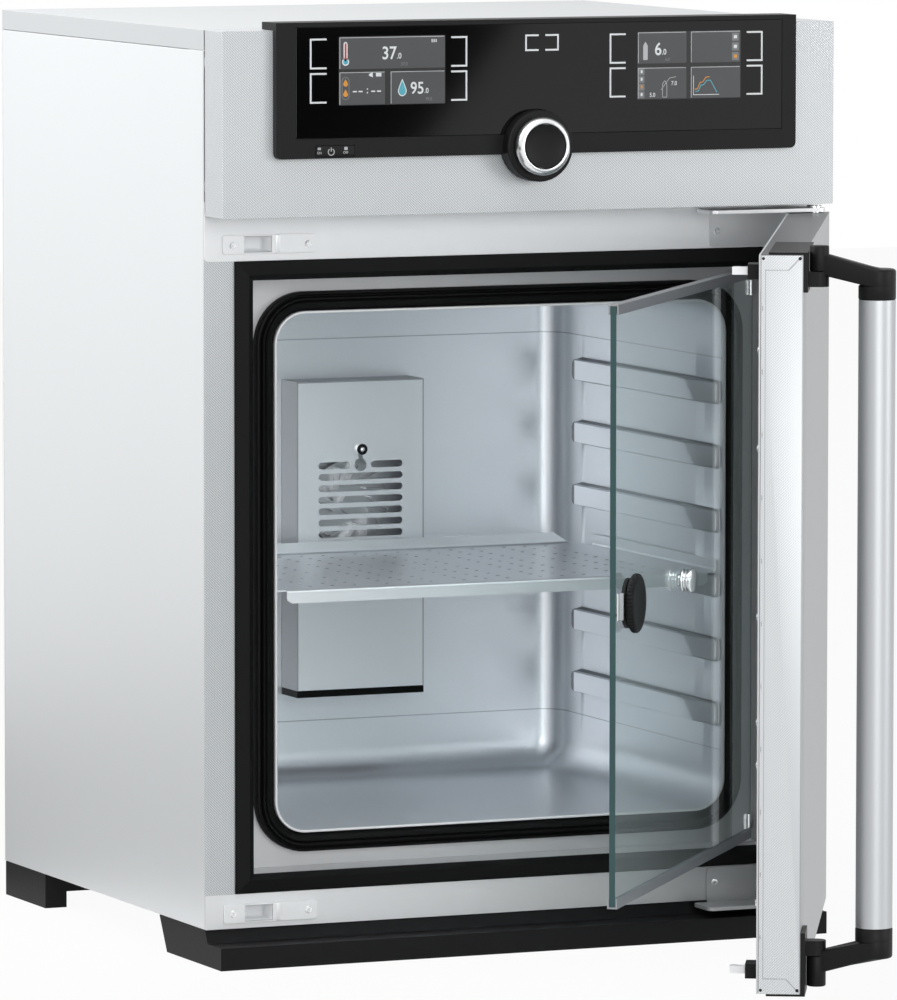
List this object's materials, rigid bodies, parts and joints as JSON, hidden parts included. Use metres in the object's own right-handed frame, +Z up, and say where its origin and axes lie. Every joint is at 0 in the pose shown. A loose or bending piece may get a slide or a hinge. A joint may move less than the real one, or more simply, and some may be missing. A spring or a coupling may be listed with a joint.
{
  "type": "carbon dioxide incubator",
  "caption": "Benchtop gas incubator with an open outer door with a tube handle, an inner glass door, a rounded steel chamber with a shelf, and a knob-operated control panel.",
  "frame": {"origin": "on the ground, on the underside of the front foot bar, under the plane of the front frame and midway between the side walls", "axes": "+Z up, +X to the right seen from the front, the front faces -Y; doors open as pictured"},
  "size_m": [0.5635, 1.0327, 0.7865],
  "materials": {
    "textured_steel": "fine woven-textured stainless sheet",
    "smooth_sheet": "plain satin stainless sheet",
    "liner_steel": "satin deep-drawn stainless steel",
    "bright_steel": "bright turned steel",
    "aluminium": "satin anodised",
    "black_plastic": "fine-grained black moulding",
    "seal_rubber": "soft black seal",
    "gloss_cover": "glossy black cover",
    "screen": "dark display with light graphics",
    "door_glass": "clear pane with a green-blue edge",
    "white_plastic": "off-white moulding"
  },
  "bodies": {
    "cabinet": {"outer_casing": "textured_steel", "top_cover": "textured_steel", "rear_panel": "textured_steel", "front_frame": "textured_steel", "control_housing": "textured_steel", "upper_fascia": "smooth_sheet", "lower_fascia": "smooth_sheet", "fan_motor": "smooth_sheet", "upper_strike": "smooth_sheet", "lower_strike": "smooth_sheet", "upper_hinge_bracket": "smooth_sheet", "lower_hinge_bracket": "smooth_sheet", "chamber_liner": "liner_steel", "fan_cover": "liner_steel", "cover_screw": "bright_steel", "gas_inlet": "bright_steel", "upper_hinge_pin": "bright_steel", "lower_hinge_pin": "bright_steel", "upper_glass_hinge": "bright_steel", "lower_glass_hinge": "bright_steel", "front_plinth": "black_plastic", "rear_foot_bar": "black_plastic", "display_bezel": "black_plastic", "mains_inlet": "black_plastic", "outer_gasket": "seal_rubber", "inner_gasket": "seal_rubber", "display_glass": "gloss_cover", "left_display": "screen", "right_display": "screen", "gas_sensor": "white_plastic", "latch_striker": "white_plastic"},
    "main_door": {"door_outer_shell": "textured_steel", "door_inner_panel": "smooth_sheet", "upper_bush": "black_plastic", "lower_bush": "black_plastic", "upper_hook_housing": "black_plastic", "lower_hook_housing": "black_plastic", "upper_handle_bracket": "black_plastic", "lower_handle_bracket": "black_plastic"},
    "handle": {"handle_tube": "aluminium", "upper_handle_arm": "black_plastic", "lower_handle_arm": "black_plastic"},
    "upper_lock_hook": {"upper_hook": "bright_steel"},
    "lower_lock_hook": {"lower_hook": "bright_steel"},
    "glass_door": {"glass_pane": "door_glass", "upper_channel": "aluminium", "lower_channel": "aluminium", "upper_clamp": "bright_steel", "lower_clamp": "bright_steel", "latch_base": "black_plastic"},
    "glass_latch": {"latch_knob": "black_plastic", "latch_clip": "bright_steel"},
    "port_stopper": {"port_plug": "bright_steel"},
    "sliding_shelf": {"shelf": "liner_steel"},
    "fan_wheel": {"fan_impeller": "aluminium"},
    "encoder_spindle": {"encoder_shaft": "bright_steel"},
    "control_knob": {"knob_ring": "bright_steel", "knob_cap": "black_plastic"},
    "power_key": {"power_button": "black_plastic"}
  },
  "joints": [
    {"name": "main_door_hinge", "type": "hinge", "parent": "cabinet", "child": "main_door", "pos_m": [0.268, -0.028, 0.3235], "axis": [0, 0, 1], "range_deg": [-61.83, 48]},
    {"name": "glass_door_hinge", "type": "hinge", "parent": "cabinet", "child": "glass_door", "pos_m": [0.2315, 0.0198, 0.3238], "axis": [0, 0, 1], "range_deg": [-50.61, 39.3]},
    {"name": "handle_swivel", "type": "hinge", "parent": "main_door", "child": "handle", "pos_m": [0.04252, -0.50052, 0.331], "axis": [0, 0, 1], "range_deg": [0, 20]},
    {"name": "upper_hook_swivel", "type": "hinge", "parent": "main_door", "child": "upper_lock_hook", "pos_m": [0.02026, -0.46308, 0.6017], "axis": [0, 0, 1], "range_deg": [-14, 0]},
    {"name": "lower_hook_swivel", "type": "hinge", "parent": "main_door", "child": "lower_lock_hook", "pos_m": [0.02026, -0.46308, 0.0425], "axis": [0, 0, 1], "range_deg": [-14, 0]},
    {"name": "latch_turn", "type": "hinge", "parent": "glass_door", "child": "glass_latch", "pos_m": [-0.03728, -0.31136, 0.3245], "axis": [0.7727, -0.6347, 0], "range_deg": [0, 90]},
    {"name": "port_plug_pull", "type": "slide", "parent": "glass_door", "child": "port_stopper", "axis": [0.7727, -0.6347, 0], "range_m": [0, 0.009]},
    {"name": "shelf_slide", "type": "slide", "parent": "cabinet", "child": "sliding_shelf", "axis": [0, -1, 0], "range_m": [-0.01, 0.006]},
    {"name": "fan_spin", "type": "hinge", "parent": "cabinet", "child": "fan_wheel", "pos_m": [0, 0.35, 0.346], "axis": [0, -1, 0], "continuous": true},
    {"name": "knob_turn", "type": "hinge", "parent": "cabinet", "child": "encoder_spindle", "pos_m": [0, -0.06, 0.681], "axis": [0, -1, 0], "continuous": true},
    {"name": "knob_press", "type": "slide", "parent": "encoder_spindle", "child": "control_knob", "axis": [0, 1, 0], "range_m": [0, 0.0015], "stiffness_N_per_m": 400},
    {"name": "power_button_press", "type": "slide", "parent": "cabinet", "child": "power_key", "axis": [0, 1, 0], "range_m": [0, 0.0015], "stiffness_N_per_m": 300}
  ],
  "couplings": [
    {"joint": "glass_door_hinge", "follows": "main_door_hinge", "ratio": 0.8184},
    {"joint": "upper_hook_swivel", "follows": "handle_swivel", "ratio": -0.7},
    {"joint": "lower_hook_swivel", "follows": "handle_swivel", "ratio": -0.7}
  ]
}
